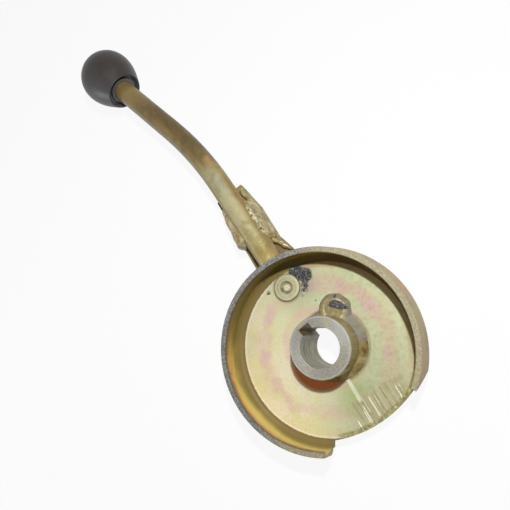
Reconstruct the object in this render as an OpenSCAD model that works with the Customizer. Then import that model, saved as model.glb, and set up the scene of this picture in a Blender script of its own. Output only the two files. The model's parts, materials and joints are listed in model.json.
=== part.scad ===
// Hand lever for a hydraulic valve: a drawn cup with a keyed hub, a welded rod and a knob.
// The bore runs along Z, the cup opens towards +Z and the rod leaves along +X.

/* [Hub] */
// Bore diameter for the valve shaft
bore_d = 18; // [14:0.5:20]
// Outside diameter of the hub
hub_d = 28; // [26:0.5:32]
// Length of the hub along the shaft
hub_len = 26; // [24:0.5:32]
// Width of the keyway
key_w = 5.6; // [4:0.1:7]
// Depth of the keyway beyond the bore
key_depth = 2.9; // [1.5:0.1:3.2]
// Turn of the keyway from the rod's side
key_turn = 7; // [-20:1:20]
// Height of the hub's front face above the cup floor
hub_rise = 19.2; // [14:0.1:22]
// Edge break on the hub's ends
hub_edge = 0.5; // [0.2:0.1:1]

/* [Cup] */
// Offset of the cup's axis from the shaft axis, along the rod
cup_x = 1.3; // [0:0.1:4]
// Offset of the cup's axis from the shaft axis, across the rod
cup_y = 3.5; // [0:0.1:5]
// Outside diameter of the rim
rim_d = 92; // [86:1:104]
// Outside depth of the cup
cup_depth = 19.6; // [16:0.2:26]
// Sheet thickness of the cup
sheet = 2.6; // [2:0.1:3.2]
// Inside radius of the bend between floor and wall
bend_r = 3.8; // [2.5:0.1:5]
// Growth of the wall's radius from the rim to the bend
wall_flare = 1.6; // [0:0.1:2]

/* [Wall cut-out] */
// Direction of the cut-out's middle at the rim
cut_turn = 185.4; // [170:0.2:190]
// Angle that the cut-out spans at the rim
cut_span = 64.4; // [40:0.2:80]
// Undercut of the end next to the rod's bend
cut_slant_near = 0.9; // [0.2:0.1:4]
// Undercut of the other end
cut_slant_far = 12; // [0.5:0.5:14]
// Radius of the floor's edge in the cut-out
cut_edge_r = 60; // [50:1:80]
// Direction in which that edge comes closest to the cup's axis
cut_edge_turn = 177; // [170:1:190]
// Floor taken off inside the bend at that place
cut_bite = 0.3; // [0:0.1:1.5]
// Height of the bend's stub above the floor in the cut-out
cut_stub = 0.8; // [0.2:0.1:2]

/* [Tongue] */
// Thickness of the tongue plate
tongue_t = 3; // [2:0.1:5]
// Width of the tongue
tongue_w = 19.4; // [17:0.2:24]
// Length of the tongue beyond the cup wall
tongue_out = 48.9; // [47:0.1:70]
// Length of the bevel on the outer corner
tongue_bevel = 17; // [8:1:20]
// Depth of the bevel on the outer corner
tongue_bevel_in = 2.8; // [1:0.1:6]
// Extra width of the root on the bevelled side
tongue_root = 2.6; // [0:0.1:4]

/* [Rivet] */
// Diameter of the rivet's flange
rivet_d = 13.6; // [10:0.1:14]
// Distance of the rivet's flange from the bend
rivet_gap = 0.3; // [0:0.1:2]
// Height of the rivet's flange
rivet_h = 1.5; // [1:0.1:2.5]
// Diameter of the rivet's shank
rivet_shank_d = 6.4; // [4:0.1:7.4]
// Diameter of the mandrel stub in the flange
mandrel_d = 3.8; // [2.4:0.1:4.2]
// Width of the groove round the mandrel stub
rivet_groove_w = 1.2; // [0.6:0.1:1.6]
// Growth of the set tail beyond the shank
rivet_tail_grow = 1.8; // [1:0.1:2.5]

/* [Rod] */
// Diameter of the rod
rod_d = 12; // [10:0.5:13]
// Length of the straight stretch at the cup
rod_straight = 51.5; // [48:0.5:70]
// Sideways lean of that stretch
rod_lean = 2.3; // [0:0.1:3]
// Radius of the bend's centre line
rod_bend_r = 200; // [120:5:260]
// Angle of the bend
rod_bend = 14.2; // [5:0.2:30]
// Length of the straight stretch up to the knob
rod_tail = 45.8; // [30:0.2:80]
// Depth of the rod's end in the knob
rod_seat = 20; // [14:1:24]

/* [Welds] */
// Leg of the hub weld along the floor
weld_leg = 3; // [2:0.1:4]
// Height of the hub weld on the hub
weld_rise = 4; // [3:0.1:6]
// Shift of the hub weld towards its heavy side
weld_shift = 0.8; // [0:0.1:1.5]
// Direction of the heavy side
weld_turn = -85; // [-180:1:180]
// Radius of the stop lump at the floor
lump_r = 8; // [6:0.1:9]
// Radius of the stop lump's flat top
lump_top_r = 5.8; // [4:0.1:6.5]
// Height of the stop lump
lump_h = 3.6; // [2:0.1:5]
// Distance of the stop lump's middle from the hub's side
lump_out = 3; // [2:0.1:5]
// Direction of the stop lump
lump_turn = -39; // [-60:1:-20]
// Radius of the rod weld beads
bead_r = 4.2; // [3.6:0.1:4.8]
// Depth of the necks between a bead's drops
bead_neck = 0.5; // [0.3:0.1:1]
// Extra radius of the drop at the cup's end of a bead
bead_bulge = 0.3; // [0.1:0.1:0.6]
// Distance of a bead's middle inside the rod's side
bead_sink = 0.2; // [0:0.1:1]
// Distance from the rod's end at the cup to the start of the left bead
bead_left_from = 17.3; // [14:0.1:22]
// Distance from the rod's end at the cup to the end of the left bead
bead_left_to = 40; // [32:0.1:42]
// Distance from the rod's end at the cup to the start of the right bead
bead_right_from = 12.3; // [10:0.1:18]
// Distance from the rod's end at the cup to the end of the right bead
bead_right_to = 33; // [26:0.1:40]

/* [Knob] */
// Largest diameter of the knob
knob_d = 32.8; // [28:0.2:40]
// Length of the knob
knob_len = 32.6; // [30:0.2:44]
// Distance from the lip to the largest diameter
knob_belly = 17.4; // [14:0.2:20]
// Diameter of the knob at its lip
knob_lip_d = 22.6; // [21:0.2:26]
// Outside diameter of the ring recess
recess_d = 19.2; // [18:0.2:19.6]
// Outside diameter of the collar round the rod
collar_d = 15.2; // [14.4:0.2:16.4]
// Depth of the ring recess
recess_depth = 3.4; // [2:0.1:5]

/* [Fits] */
// Radial clearance of the hub in the cup floor
hub_fit = 0.1; // [0.05:0.05:0.3]
// Radial clearance of the rivet's shank
rivet_fit = 0.1; // [0.05:0.05:0.3]
// Clearance between the rod's end and the cup wall
rod_fit = 0.1; // [0.05:0.05:0.4]
// Clearance of the rod in the knob
knob_fit = 0.05; // [0.02:0.01:0.2]

/* [Hidden] */
$fn = 96;
// Overshoot of cutting tools past the faces they cut
over = 1;

hub_r = hub_d / 2;
rod_r = rod_d / 2;
// Levels along the shaft axis, from the hub's rear face
floor_front = hub_len - hub_rise;
floor_back = floor_front - sheet;
rim_z = floor_back + cup_depth;
rod_z = floor_back + rod_r;

// Cup radii: wall at the bend, outside radius of the bend, edge of the flat floor
wall_r = rim_d / 2 + wall_flare;
bend_out_r = bend_r + sheet;
flat_r = wall_r - bend_out_r;
cut_far = wall_r * 2;
cut_from = cut_turn - cut_span / 2;
cut_to = cut_turn + cut_span / 2;

// Start of the rod at the cup wall
rod_x = wall_r + rod_fit;
rod_y = -rod_x * sin(rod_lean) / 2;

rivet_x = flat_r - rivet_d / 2 - rivet_gap;
rivet_groove_r = mandrel_d / 2 + rivet_groove_w;
rivet_groove_depth = 0.9;
rivet_edge = 0.7;
rivet_tail_r = rivet_shank_d / 2 + rivet_tail_grow;
rivet_tail_h = 1.6;
tongue_reach = wall_r + tongue_out;
tongue_root_x = rivet_x + rivet_d / 2 + tongue_w / 2;
tongue_flare_x = tongue_root_x + tongue_w / 2;

// Points of an arc about c, from angle a to angle b
function arc(c, r, a, b, n = 10) = [
    for (i = [0 : n])
        let (turn = a + (b - a) * i / n)
            c + r * [cos(turn), sin(turn)]
];

// Section of the drawn cup, from its axis along the back, up the wall and back along the floor
cup_section = concat(
    [[0, 0]],
    arc([flat_r, bend_out_r], bend_out_r, -90, 0),
    [[rim_d / 2, cup_depth], [rim_d / 2 - sheet, cup_depth]],
    arc([flat_r, bend_out_r], bend_r, 0, -90),
    [[0, sheet]]
);

// Plan of the cut-out: a wedge from the cup's axis out past the wall
module cut_wedge() {
    polygon([
        [0, 0], cut_far * [cos(cut_from), sin(cut_from)],
        cut_far * [cos(cut_turn), sin(cut_turn)], cut_far * [cos(cut_to), sin(cut_to)]
    ]);
}

// Trims the floor's edge in the cut-out, and takes the wall off above the bend's stub
module cut_opening() {
    edge_at = (flat_r - cut_bite - cut_edge_r) * [cos(cut_edge_turn), sin(cut_edge_turn)];
    translate([0, 0, floor_back - over])
        linear_extrude(cup_depth + 2 * over)
            difference() {
                cut_wedge();
                translate(edge_at)
                    circle(r = cut_edge_r);
            }
    translate([0, 0, floor_front + cut_stub])
        linear_extrude(cup_depth)
            difference() {
                cut_wedge();
                circle(r = flat_r - over);
            }
}

// Undercut of one end of the cut-out, growing from nothing at the rim
module cut_slant(turn, slant) {
    rotate(turn)
        translate([wall_r - sheet, 0, floor_back])
            rotate([90, 0, 90])
                linear_extrude(cut_far)
                    polygon([
                        [-slant / 4, -over], [slant, -over], [slant, 0],
                        [0, cup_depth], [-slant / 4, cup_depth]
                    ]);
}

// Places its children about the cup's axis
module at_cup() {
    translate([cup_x, cup_y, 0])
        children();
}

module cup() {
    color("#b9ab6a")
        difference() {
            at_cup()
                translate([0, 0, floor_back])
                    rotate_extrude()
                        polygon(cup_section);
            translate([0, 0, floor_back - over])
                cylinder(r = hub_r + hub_fit, h = sheet + 2 * over);
            at_cup()
                translate([rivet_x, 0, floor_back - over])
                    cylinder(r = rivet_shank_d / 2 + rivet_fit, h = sheet + 2 * over);
            at_cup()
                cut_opening();
            at_cup()
                cut_slant(cut_from, -cut_slant_near);
            at_cup()
                cut_slant(cut_to, cut_slant_far);
        }
}

module hub() {
    bore_r = bore_d / 2;
    color("#9a9a92")
        difference() {
            rotate_extrude()
                polygon([
                    [bore_r, 0], [hub_r - hub_edge, 0], [hub_r, hub_edge],
                    [hub_r, hub_len - hub_edge], [hub_r - hub_edge, hub_len], [bore_r, hub_len]
                ]);
            rotate(key_turn)
                translate([0, -key_w / 2, -over])
                    cube([bore_r + key_depth, key_w, hub_len + 2 * over]);
        }
}

// Fillet weld round the hub, heavier on one side, with the flat lump where the bead was stopped
module hub_weld() {
    foot_r = hub_r + weld_leg;
    slope = weld_rise / (weld_leg + weld_shift);
    top_r = hub_r / 4;
    cone_h = (foot_r - top_r) * slope;
    lump_slope = lump_h / (lump_r - lump_top_r);
    color("#8d8a6c")
        difference() {
            intersection() {
                union() {
                    rotate(weld_turn)
                        translate([weld_shift, 0, floor_front - over])
                            cylinder(r1 = foot_r + over / slope, r2 = top_r, h = cone_h + over);
                    rotate(lump_turn)
                        translate([hub_r + lump_out, 0, floor_front - over])
                            cylinder(r1 = lump_r + over / lump_slope, r2 = lump_top_r, h = lump_h + over);
                }
                translate([0, 0, floor_front])
                    cylinder(r = flat_r, h = cone_h + over);
            }
            translate([0, 0, floor_front - over])
                cylinder(r = hub_r, h = cone_h + 3 * over);
        }
}

module tongue() {
    half = tongue_w / 2;
    color("#a2955c")
        translate([cup_x, cup_y, floor_back - tongue_t])
            difference() {
                linear_extrude(tongue_t)
                    union() {
                        translate([rivet_x, 0])
                            circle(r = half);
                        polygon([
                            [rivet_x, half], [rivet_x, -half], [rivet_x + half, -half - tongue_root],
                            [tongue_root_x, -half - tongue_root], [tongue_flare_x, -half],
                            [tongue_reach - tongue_bevel, -half], [tongue_reach, tongue_bevel_in - half],
                            [tongue_reach, half]
                        ]);
                    }
                translate([rivet_x, 0, -over])
                    cylinder(r = rivet_shank_d / 2 + rivet_fit, h = tongue_t + 2 * over);
            }
}

// Rivet with a flange on the cup floor, a mandrel stub in its groove and a set tail behind the tongue
module rivet() {
    flange_r = rivet_d / 2;
    shank_r = rivet_shank_d / 2;
    stub_r = mandrel_d / 2;
    grip = sheet + tongue_t;
    color("#b4aa78")
        translate([cup_x + rivet_x, cup_y, floor_front])
            rotate_extrude()
                polygon(concat(
                    [[0, -grip - rivet_tail_h], [rivet_tail_r - rivet_edge, -grip - rivet_tail_h]],
                    [[rivet_tail_r, -grip - rivet_tail_h + rivet_edge], [rivet_tail_r, -grip]],
                    [[shank_r, -grip], [shank_r, 0], [flange_r, 0]],
                    arc([flange_r - rivet_edge, rivet_h - rivet_edge], rivet_edge, 0, 90, 5),
                    [[rivet_groove_r, rivet_h], [rivet_groove_r, rivet_h - rivet_groove_depth]],
                    [[stub_r, rivet_h - rivet_groove_depth], [stub_r, rivet_h - rivet_edge / 2]],
                    [[stub_r - rivet_edge / 2, rivet_h], [0, rivet_h]]
                ));
}

// Places its children at the rod's start, along the stretch at the cup
module at_rod_start() {
    translate([cup_x + rod_x, cup_y + rod_y, rod_z])
        rotate(rod_lean)
            children();
}

// Places its children at the end of the bend, in the frame of the stretch at the cup
module after_bend() {
    translate([rod_straight, rod_bend_r, 0])
        rotate(rod_bend)
            translate([0, -rod_bend_r, 0])
                children();
}

module bar(length) {
    rotate([0, 90, 0])
        cylinder(r = rod_r, h = length);
}

// The rod is built about the middle of its bend
module rod() {
    color("#94803f")
        at_rod_start()
            translate([rod_straight, rod_bend_r, 0])
                rotate(rod_bend / 2)
                    union() {
                        rotate(-rod_bend / 2)
                            translate([-rod_straight, -rod_bend_r, 0])
                                bar(rod_straight);
                        rotate(-90 - rod_bend / 2)
                            rotate_extrude(angle = rod_bend)
                                translate([rod_bend_r, 0])
                                    circle(r = rod_r);
                        rotate(rod_bend / 2)
                            translate([0, -rod_bend_r, 0])
                                bar(rod_tail + rod_seat);
                    }
}

// Weld bead beside the rod: a row of drops on one core, cut to the rod and the tongue
module weld_bead(from, to, side) {
    drops = 3;
    bead_y = side * (rod_r - bead_sink);
    bead_z = bead_r / 2 - rod_r;
    step = (to - from) / drops;
    reach = to - from + 2 * tongue_w;
    at_rod_start()
        difference() {
            translate([from, bead_y, bead_z])
                union() {
                    rotate([0, 90, 0])
                        cylinder(r = bead_r - bead_neck, h = to - from);
                    sphere(r = bead_r + bead_bulge);
                    for (i = [1 : drops])
                        translate([i * step, 0, 0])
                            sphere(r = bead_r);
                }
            translate([from - tongue_w, -reach / 2, -rod_r - tongue_w])
                cube([reach, reach, tongue_w]);
            bar(rod_straight);
        }
}

module rod_weld_left() {
    color("#9c8a4a")
        weld_bead(bead_left_from, bead_left_to, 1);
}

module rod_weld_right() {
    color("#9c8a4a")
        weld_bead(bead_right_from, bead_right_to, -1);
}

// Knob turned about the rod's end: lip, flank, domed top, and the recess underneath
module knob() {
    belly_r = knob_d / 2;
    lip_r = knob_lip_d / 2;
    lip_edge = 1.2;
    dome = knob_len - knob_belly;
    seat_r = rod_r + knob_fit;
    seat_end = rod_seat + knob_fit;
    collar_back = recess_depth / 3;
    flank_steps = 8;
    dome_steps = 14;
    flank = [for (i = [1 : flank_steps])
        [lip_r + (belly_r - lip_r) * sin(90 * i / flank_steps),
         lip_edge + (knob_belly - lip_edge) * i / flank_steps]];
    crown = [for (i = [1 : dome_steps])
        [belly_r * cos(90 * i / dome_steps), knob_belly + dome * sin(90 * i / dome_steps)]];
    color("#45403c")
        at_rod_start()
            after_bend()
                translate([rod_tail, 0, 0])
                    rotate([0, 90, 0])
                        rotate_extrude()
                            polygon(concat(
                                [[0, seat_end], [seat_r, seat_end], [seat_r, collar_back]],
                                [[collar_d / 2, collar_back], [collar_d / 2, recess_depth]],
                                [[recess_d / 2, recess_depth], [recess_d / 2, lip_edge / 2]],
                                [[recess_d / 2 + lip_edge / 2, 0], [lip_r - lip_edge / 2, 0]],
                                [[lip_r, lip_edge]],
                                flank,
                                crown
                            ));
}

cup();
hub();
hub_weld();
tongue();
rivet();
rod();
rod_weld_left();
rod_weld_right();
knob();
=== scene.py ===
"""Looks of a hydraulic valve lever: passivated steel cup, keyed hub, welded rod and moulded knob."""
import json
import math
import random

import bmesh
import bpy
from mathutils import Euler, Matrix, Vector, noise


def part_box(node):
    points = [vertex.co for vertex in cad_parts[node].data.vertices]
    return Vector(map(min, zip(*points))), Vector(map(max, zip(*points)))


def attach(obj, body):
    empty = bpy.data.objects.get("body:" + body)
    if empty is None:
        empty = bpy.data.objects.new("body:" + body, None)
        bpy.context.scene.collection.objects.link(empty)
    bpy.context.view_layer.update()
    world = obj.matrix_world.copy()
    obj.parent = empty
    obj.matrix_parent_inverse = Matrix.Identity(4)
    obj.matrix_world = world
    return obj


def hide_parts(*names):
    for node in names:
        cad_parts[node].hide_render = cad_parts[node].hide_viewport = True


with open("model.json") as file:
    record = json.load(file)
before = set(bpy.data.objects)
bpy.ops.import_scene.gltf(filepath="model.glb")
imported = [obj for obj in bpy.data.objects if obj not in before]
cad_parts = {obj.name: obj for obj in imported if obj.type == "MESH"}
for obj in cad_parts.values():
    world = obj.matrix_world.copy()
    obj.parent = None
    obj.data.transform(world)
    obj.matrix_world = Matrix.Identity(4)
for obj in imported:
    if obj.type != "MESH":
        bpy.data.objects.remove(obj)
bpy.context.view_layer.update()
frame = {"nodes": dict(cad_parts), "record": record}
nodes = frame["nodes"]
MM = 0.001


def node_box(name):
    """Lowest and highest corner of a node, in millimetres."""
    low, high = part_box(name)
    return Vector(low) / MM, Vector(high) / MM


def around(turn, radius):
    """Point of the floor's plane at a turn in degrees and a radius."""
    angle = math.radians(turn)
    return Vector((radius * math.cos(angle), radius * math.sin(angle), 0))


# ---- Places, in millimetres and about the cup's axis unless a heading says otherwise ----
# In the photo +X runs to the upper left and +Y to the lower left: left and right stand for +Y and -Y

# Levels, radii and the cup's axis, in the frame
CUP_LOW, CUP_HIGH = node_box("cup")
HUB_LOW, HUB_HIGH = node_box("hub")
ROD_LOW, ROD_HIGH = node_box("rod")
RIVET_LOW, RIVET_HIGH = node_box("rivet")
FLOOR = node_box("hub_weld")[0].z
KNOB_BOTTOM = node_box("knob")[0].z
FLOOR_BACK = CUP_LOW.z
RIM = CUP_HIGH.z
HUB_TOP = HUB_HIGH.z
HUB_R = (HUB_HIGH.x - HUB_LOW.x) / 2
BORE_R = frame["record"]["mounts"][0]["dims"]["r_mm"]
CUP_R = (CUP_HIGH.y - CUP_LOW.y) / 2
CUP_AXIS = Vector((CUP_HIGH.x - CUP_R, (CUP_HIGH.y + CUP_LOW.y) / 2, 0))
ROD_R = (ROD_HIGH.z - ROD_LOW.z) / 2
ROD_Z = (ROD_HIGH.z + ROD_LOW.z) / 2

# Shaft, rivet, and the rod's start with its directions
SHAFT = -CUP_AXIS
RIVET_R = (RIVET_HIGH.x - RIVET_LOW.x) / 2
RIVET_AT = Vector((RIVET_HIGH.x - RIVET_R, CUP_AXIS.y, FLOOR)) - CUP_AXIS
ROD_LEAN = math.radians(2.3)
ROD_GAP = 0.1
ROD_START = Vector((CUP_R + ROD_GAP, -CUP_R * math.sin(ROD_LEAN) / 2, ROD_Z))
ROD_ALONG = Vector((math.cos(ROD_LEAN), math.sin(ROD_LEAN), 0))
ROD_ACROSS = Vector((-math.sin(ROD_LEAN), math.cos(ROD_LEAN), 0))

# Knob's lip on the rod's axis, the direction of the rod's end, and the recess round the rod
KNOB_LIP = Vector((191.85, 22.19, ROD_Z))
KNOB_TURN = math.radians(16.5)
KNOB_ALONG = Vector((math.cos(KNOB_TURN), math.sin(KNOB_TURN), 0))
RECESS_R = 9.6
RECESS_DEPTH = 3.4

# Cup: edge of the flat floor, inside of the rim, and start of the outer wall
FLAT_R = 41.2
RIM_IN = 43.4
OUTSIDE_R = 45.5

# Pink bands of the floor's film: middle of one band, spacing, and how far noise shifts them in radians
PINK_R = 31.0
PINK_STEP = 13.0
PINK_WANDER = 4.6

# Tints on the floor: centre, radius and width of the soft edge
GREEN_PATCH = ((-27, -1, FLOOR), 13, 11)
DULL_PATCH = ((RIVET_AT.x - 3, RIVET_AT.y - 4, FLOOR), 17, 14)
HUB_SHADE_PATCH = ((SHAFT.x - 3, SHAFT.y + 8.4, FLOOR), 15.2, 2.6)
SMEAR_PATCH = ((33.5, -7.5, FLOOR), 11, 9)
# Direction on the floor towards the key lamp
LAMP_SIDE = (0.31, -0.95)

# Scratches along the lever beside the wall cut-out: side, start, end and half width
SCRATCHES = [
    (-1.9, -16.0, -30.0, 1.2),
    (-1.6, -30.0, -41.6, 0.45),
    (-0.6, -32.0, -40.0, 0.5),
    (4.0, -34.5, -40.6, 0.4),
    (-3.1, -27.0, -36.0, 0.24),
    (-6.0, -28.0, -39.4, 0.4),
    (-8.6, -29.0, -35.0, 0.2),
    (-18.9, -29.5, -37.4, 0.4),
    (-20.6, -29.5, -34.5, 0.16),
]
# Start of the scuffed floor beside the cut-out, and the circle of the floor's edge there
SCUFF_FROM = -27.5
CUT_EDGE_AT = (19.1, -1.0)
CUT_EDGE_R = 60.0

# Soot of the rod's weld beside the rivet: place, radius and strength of each part of the patch
SOOT = [
    (Vector((37.2, -8.6, FLOOR)), 4.4, 1.0),
    (Vector((34.4, -10.8, FLOOR)), 4.4, 1.0),
    (Vector((38.8, -7.0, FLOOR)), 3.4, 0.9),
    (Vector((30.4, -8.4, FLOOR)), 2.6, 0.75),
    (Vector((28.4, -6.6, FLOOR)), 2.4, 0.65),
    (Vector((26.6, -4.4, FLOOR)), 2.0, 0.5),
    (Vector((37.0, 10.0, FLOOR)), 2.6, 0.45),
]

# Coppery spots of heat on the rod: centre, radius and soft edge
HOT_SPOTS = [
    ((115.5, -2.6, ROD_Z + ROD_R), 4.5, 4),
    ((111.5, -3.8, ROD_Z + ROD_R), 5.0, 4.5),
]

# Hub weld, about the shaft: its foot and heavy side, the side that the flame swept, the flat lump where the
# bead was stopped, and the outline of the slag on that lump
FOOT_R = 17.0
FOOT_SHIFT = around(-85, 0.8)
FOOT_SLOPE = 1.05
SWEPT_AT = around(-88, 16.5)
LUMP_AT = around(-39, 17.0)
LUMP_R = 8.0
LUMP_TOP_R = 5.8
LUMP_H = 3.4
SLAG_EDGE = [
    (16.0, -9.7), (16.7, -11.6), (16.5, -13.9), (14.4, -15.7),
    (12.0, -16.7), (10.2, -16.7), (11.5, -13.9), (13.8, -11.7),
]

# Rod's welds: distance from the rod's start, reach from the rod's axis, and top above the tongue
LEFT_WELD = [
    (15.2, 5.4, 2.0), (16.6, 10.0, 7.0), (19.0, 11.8, 9.2), (24.0, 11.2, 9.2),
    (33.0, 10.0, 8.8), (39.0, 9.0, 7.8), (44.0, 5.4, 3.0),
]
RIGHT_WELD = [
    (10.6, 5.4, 2.0), (12.4, 8.6, 7.0), (15.0, 9.3, 9.0), (24.0, 9.7, 9.4),
    (31.0, 9.8, 9.2), (35.5, 9.2, 8.0), (39.0, 5.4, 3.0),
]
# Exponent of each weld's section: under 1 is fuller than an ellipse, over 1 is leaner
LEFT_BULGE = 0.8
RIGHT_BULGE = 1.2
# Strap of weld from the right weld's end to the tongue's corner at the cup
STRAP_FROM = Vector((61.0, -6.0, FLOOR_BACK + 2.4))
STRAP_TO = Vector((49.6, -12.0, FLOOR_BACK + 0.7))
STRAP_R = 1.2
# Ridge of weld along the tongue's edge, from its far end to the right weld
RIDGE_FROM = Vector((94.0, -5.9, FLOOR_BACK + 0.8))
RIDGE_TO = Vector((79.0, -7.6, FLOOR_BACK + 2.0))
RIDGE_R = 1.6

# Camera, in the frame and in metres: the eye, its turn and its lens
EYE = Vector((-26.2, -59.24, 239.67)) * MM
EYE_TURN = Euler((math.radians(8.136), math.radians(23.95), math.radians(-122)), "XYZ")
FOCAL_PX = 500
FRAME_PX = 510
SENSOR = 36
CLIP_START = 0.01

# Light, in the frame and in metres: place, aim, size and power of the near key lamp and the low fill lamp,
# and the strength of the surround
KEY_AT = Vector((39, -121, 294)) * MM
KEY_AIM = Vector((0, 0, FLOOR)) * MM
KEY_SIZE = 0.012
KEY_POWER = 0.97
FILL_AT = Vector((120, 400, 70)) * MM
FILL_AIM = Vector((120, 10, 5)) * MM
FILL_SIZE = 0.14
FILL_POWER = 0.3
SURROUND = 0.08

# Studio floor: size in metres, gap under the knob, colour, roughness, and its share of plain white to the eye
STUDIO_SIZE = 6.0
STUDIO_GAP = 0.5
STUDIO_COLOUR = (0.9, 0.9, 0.9, 1)
STUDIO_ROUGH = 0.9
STUDIO_WHITE = 0.92
WHITE = (1, 1, 1, 1)


# ---- Colours ----

# Cup floor's film
GREEN = (0.64, 0.68, 0.42)
CREAM = (0.66, 0.6, 0.37)
YELLOW = (0.8, 0.73, 0.4)
PEARL = (0.88, 0.77, 0.58)
PINK = (0.72, 0.49, 0.45)
LEAF = (0.52, 0.58, 0.28)

# On the floor: painted highlight on the edge, painted shade round parts, tints where shadows fall, dull
# places, smudges and fine lines
EDGE_HIGHLIGHT = (0.92, 0.84, 0.66)
CONTACT_SHADE = (0.2, 0.17, 0.08)
RIM_SHADE = (0.46, 0.29, 0.08)
HUB_SHADE = (0.56, 0.16, 0.04)
DULL = (0.36, 0.35, 0.24)
HAZE = (0.42, 0.38, 0.22)
SMUDGE_LIGHT = (0.72, 0.71, 0.73)
SMUDGE_DARK = (0.58, 0.56, 0.53)
SMEAR = (0.28, 0.28, 0.24)
LILAC = (0.5, 0.44, 0.37)
PALE = (0.86, 0.88, 0.7)

# Cup wall and rim, with painted light and shade on the wall
GOLD = (0.82, 0.55, 0.13)
WALL_PAINTED_LIGHT = (0.92, 0.77, 0.27)
WALL_ROD_SHADE = (0.19, 0.15, 0.04)
WALL_RIGHT_SHADE = (0.22, 0.14, 0.04)
WALL_FOOT_SHADE = (0.2, 0.145, 0.05)
WALL_PAINTED_GLOW = (0.5, 0.33, 0.05)
RIM_EDGE = (0.07, 0.065, 0.045)

# Brown film on several materials, olive film on the hub, and painted shade on the tongue
BROWN = (0.16, 0.1, 0.035)
OLIVE = (0.34, 0.26, 0.08)
PLATE_SHADE = (0.06, 0.07, 0.05)

# Rod, with painted shade, sheen and highlight
ROD_AT_KNOB = (0.33, 0.24, 0.09)
ROD_FLANK_SHADE = (0.1, 0.065, 0.025)
ROD_FLANK_SHEEN = (0.36, 0.29, 0.22)
ROD_WEAR_HIGHLIGHT_NEAR = (0.48, 0.43, 0.235)
ROD_WEAR_HIGHLIGHT_FAR = (0.44, 0.43, 0.3)
ROD_BURNT_SHADE = (0.28, 0.155, 0.045)
ROD_HOT = (0.54, 0.29, 0.13)
ROD_AT_CUP = (0.4, 0.27, 0.09)

# Hub and rivet, with painted highlight and shade
FACE_FILM = (0.34, 0.29, 0.16)
FACE_EDGE_HIGHLIGHT = (0.5, 0.49, 0.45)
KEYWAY_SHADE = (0.2, 0.135, 0.055)
FLANGE_FILM = (0.52, 0.5, 0.3)

# Welds, with painted glints and shade on the rod's welds
SWEPT = (0.31, 0.31, 0.27)
LUMP_TOP = (0.24, 0.2, 0.09)
LUMP_RIDGE = (0.38, 0.33, 0.17)
BEAD_GLINT = (0.64, 0.6, 0.42)
BEAD_FOOT_SHADE = (0.1, 0.095, 0.045)
PORE_EDGE = (0.66, 0.62, 0.4)
PORE = (0.05, 0.04, 0.02)

# Knob, with a painted sheen
KNOB_SPECK = (0.08, 0.075, 0.07)
KNOB_RECESS = (0.13, 0.135, 0.15)
KNOB_SHEEN = (0.085, 0.086, 0.092)

# Ramps: where each colour stands on the scale of a noise, a height or a radius
PLATE_STOPS = [
    (0.36, (0.2, 0.16, 0.07)), (0.48, (0.34, 0.28, 0.14)),
    (0.58, (0.44, 0.38, 0.2)), (0.68, (0.5, 0.46, 0.32)),
]
INSIDE_STOPS = [
    (0.04, (0.3, 0.23, 0.07)), (0.24, (0.42, 0.35, 0.1)), (0.42, (0.66, 0.5, 0.14)),
    (0.58, GOLD), (0.76, (0.74, 0.4, 0.14)), (0.94, (0.46, 0.28, 0.1)),
]
OUTSIDE_STOPS = [(0.36, (0.3, 0.26, 0.11)), (0.5, (0.4, 0.32, 0.15)), (0.6, (0.46, 0.28, 0.14))]
STRIPE_STOPS = [
    (0.34, (0.24, 0.21, 0.08)), (0.45, (0.36, 0.33, 0.17)), (0.55, (0.44, 0.38, 0.25)),
    (0.62, (0.56, 0.56, 0.34)), (0.7, PALE),
]
NICK_STOPS = [(0.38, (0.2, 0.17, 0.06)), (0.52, (0.34, 0.3, 0.13)), (0.64, (0.5, 0.46, 0.26)), (0.7, PALE)]
SOOT_STOPS = [
    (0.42, (0.03, 0.03, 0.035)), (0.55, (0.11, 0.11, 0.11)),
    (0.64, (0.3, 0.3, 0.27)), (0.72, (0.6, 0.6, 0.5)),
]
RIM_ZINC_STOPS = [
    (0.32, (0.1, 0.095, 0.085)), (0.45, (0.18, 0.175, 0.16)),
    (0.56, (0.26, 0.255, 0.235)), (0.68, (0.55, 0.54, 0.5)),
]
RIM_FILM_STOPS = [(0.35, (0.28, 0.25, 0.14)), (0.5, (0.38, 0.34, 0.21)), (0.65, (0.48, 0.44, 0.3))]
ROD_NEAR_STOPS = [(0.36, (0.22, 0.165, 0.05)), (0.48, (0.3, 0.24, 0.085)), (0.6, (0.38, 0.315, 0.13))]
ROD_FAR_STOPS = [(0.38, (0.13, 0.085, 0.03)), (0.5, (0.2, 0.135, 0.05)), (0.62, (0.28, 0.19, 0.065))]
FACE_STOPS = [
    (0.34, (0.19, 0.185, 0.16)), (0.46, (0.24, 0.235, 0.2)),
    (0.58, (0.28, 0.275, 0.24)), (0.7, (0.37, 0.365, 0.33)),
]
HUB_SIDE_STOPS = [(0.36, BROWN), (0.45, OLIVE), (0.54, (0.36, 0.29, 0.14)), (0.64, (0.46, 0.4, 0.24))]
BORE_STOPS = [(0.36, (0.17, 0.15, 0.07)), (0.5, (0.3, 0.285, 0.18)), (0.64, (0.42, 0.42, 0.33))]
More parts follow.
